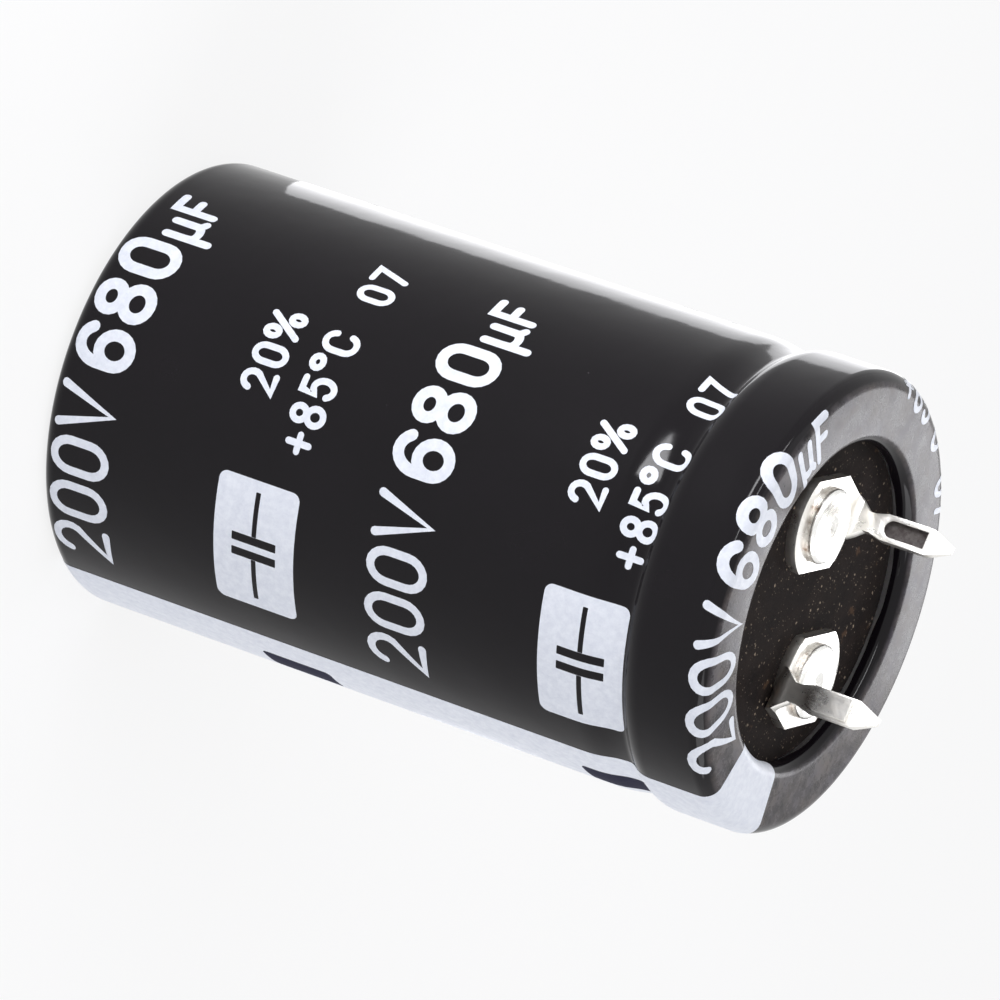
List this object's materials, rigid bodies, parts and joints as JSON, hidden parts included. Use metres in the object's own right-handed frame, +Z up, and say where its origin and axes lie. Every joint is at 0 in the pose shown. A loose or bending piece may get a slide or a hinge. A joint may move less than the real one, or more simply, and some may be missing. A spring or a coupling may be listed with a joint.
{
  "type": "electrolytic capacitor",
  "caption": "Snap-in aluminium electrolytic capacitor: sleeved cylindrical can with a grooved rim, riveted flat pins on one end and a white polarity stripe along the side.",
  "frame": {"origin": "middle of the closed end, on the surface that the case stands on", "axes": "+Z runs up the case to the terminals; +X runs from the middle to the positive pin; the white stripe is on the -X side"},
  "size_m": [0.0258, 0.0258, 0.0474],
  "materials": {
    "sleeve": "glossy shrunk film",
    "polarity_stripe": "glossy print",
    "can": "drawn",
    "rubber_face": "matte, speckled",
    "phenolic_board": "laminate",
    "terminals": "bright tin plating",
    "rivets": "bright",
    "washers": "plain",
    "foil_tabs": "etched",
    "winding": "soaked paper over foil",
    "winding_tape": "film tape"
  },
  "bodies": {
    "root": {"sleeve": "sleeve", "polarity_stripe": "polarity_stripe", "can": "can", "rubber_face": "rubber_face", "phenolic_board": "phenolic_board", "positive_terminal": "terminals", "negative_terminal": "terminals", "positive_rivet": "rivets", "negative_rivet": "rivets", "positive_washer": "washers", "negative_washer": "washers", "positive_tab": "foil_tabs", "negative_tab": "foil_tabs", "winding": "winding", "winding_tape": "winding_tape"}
  },
  "joints": []
}
